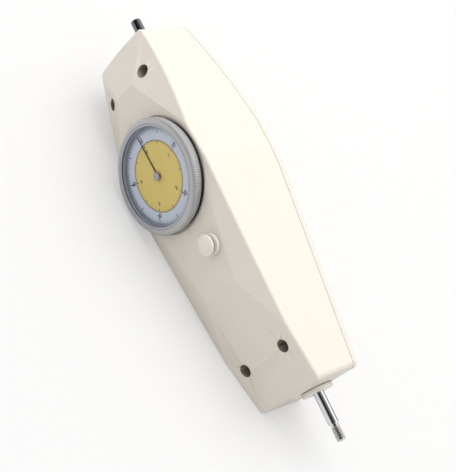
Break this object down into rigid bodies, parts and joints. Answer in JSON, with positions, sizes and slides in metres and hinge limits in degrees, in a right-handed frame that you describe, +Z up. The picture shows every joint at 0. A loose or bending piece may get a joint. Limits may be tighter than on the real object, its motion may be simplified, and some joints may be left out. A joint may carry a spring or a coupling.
{
  "type": "push-pull force gauge",
  "caption": "Handheld push-pull force gauge: ivory case, sliding measuring rod between springs, geared dial pointer, turning bezel and a push button that works a pointer hold lever.",
  "frame": {"origin": "centre of the bounding box's base, on the surface that the gauge's left side lies on", "axes": "+X towards the measuring rod's tip (3.6 degrees off the rod's axis), -Y out of the dial, +Z up"},
  "size_m": [0.2344, 0.0548, 0.0599],
  "materials": {
    "ivory": "satin",
    "ivory_trim": "gloss",
    "chrome": "polished",
    "steel": "machined",
    "dark_steel": "ground",
    "spring_steel": "drawn",
    "aluminium": "machined",
    "satin_aluminium": "satin anodised",
    "zinc_plate": "zinc plated",
    "brass": "machined",
    "black": "satin",
    "black_rubber": "matte",
    "dial_face": "printed",
    "crystal_glass": "clear"
  },
  "bodies": {
    "root": {"front_housing": "ivory", "rear_cover": "ivory", "cover_screw_1": "steel", "cover_screw_2": "steel", "cover_screw_3": "steel", "cover_screw_4": "steel", "front_rod_bush": "ivory_trim", "tail_rod_bush": "ivory_trim", "push_spring": "spring_steel", "pull_spring": "spring_steel", "chassis": "zinc_plate", "chassis_screw_1": "steel", "chassis_screw_2": "steel", "chassis_screw_3": "steel", "guide_pin": "steel", "hairspring": "spring_steel", "movement_rear_plate": "brass", "movement_front_plate": "brass", "chassis_pillar_1": "steel", "chassis_pillar_2": "steel", "chassis_pillar_3": "steel", "pillar_screw_1": "steel", "pillar_screw_2": "steel", "pillar_screw_3": "steel", "movement_pillar_1": "brass", "movement_pillar_2": "brass", "movement_pillar_3": "brass", "dial_seat": "zinc_plate", "seat_screw_1": "steel", "seat_screw_2": "steel", "seat_screw_3": "steel", "button_collar": "ivory_trim", "collar_nut": "brass", "button_spring": "spring_steel", "lever_pin": "steel", "stand_insert_1": "brass", "stand_insert_2": "brass"},
    "rod_train": {"measuring_rod": "chrome", "tail_rod": "dark_steel", "stop_collar": "steel", "carriage": "aluminium", "carriage_set_screw_1": "steel", "carriage_set_screw_2": "steel", "rack": "steel", "rack_screw_1": "steel", "rack_screw_2": "steel"},
    "wheel_train": {"wheel_arbor": "brass", "drive_wheel": "brass"},
    "pointer_train": {"centre_arbor": "brass", "pointer": "black", "pointer_hub": "chrome"},
    "bezel_group": {"bezel": "satin_aluminium", "crystal": "crystal_glass", "crystal_gasket": "black_rubber", "dial_plate": "dial_face", "dial_retaining_ring": "zinc_plate"},
    "button": {"button_cap": "ivory_trim", "button_plunger": "steel"},
    "lever": {"hold_lever": "steel"}
  },
  "joints": [
    {"name": "rod_slide", "type": "slide", "parent": "root", "child": "rod_train", "axis": [-0.998, 0, 0.0635], "range_m": [-0.01, 0.01], "stiffness_N_per_m": 4900, "deforming": ["push_spring", "pull_spring"]},
    {"name": "wheel_turn", "type": "hinge", "parent": "root", "child": "wheel_train", "pos_m": [-0.01618, 0.00777, 0.02409], "axis": [0, -1, 0], "range_deg": [-116, 116]},
    {"name": "pointer_turn", "type": "hinge", "parent": "root", "child": "pointer_train", "pos_m": [-0.02952, 0.00777, 0.03007], "axis": [0, -1, 0], "range_deg": [-362, 362], "deforming": ["hairspring"]},
    {"name": "bezel_turn", "type": "hinge", "parent": "root", "child": "bezel_group", "pos_m": [-0.02952, 0.00777, 0.03007], "axis": [0, -1, 0], "continuous": true},
    {"name": "button_press", "type": "slide", "parent": "root", "child": "button", "axis": [0, 1, 0], "range_m": [0, 0.0016], "stiffness_N_per_m": 700, "springref_m": -0.001, "deforming": ["button_spring"]},
    {"name": "lever_swing", "type": "hinge", "parent": "root", "child": "lever", "pos_m": [-0.00207, 0.00777, 0.02839], "axis": [0, -1, 0], "range_deg": [-4, 1]}
  ],
  "couplings": [
    {"joint": "wheel_turn", "follows": "rod_slide", "rad_per_m": 200},
    {"joint": "pointer_turn", "follows": "rod_slide", "rad_per_m": -628.57},
    {"joint": "lever_swing", "follows": "button_press", "rad_per_m": -35.235}
  ]
}
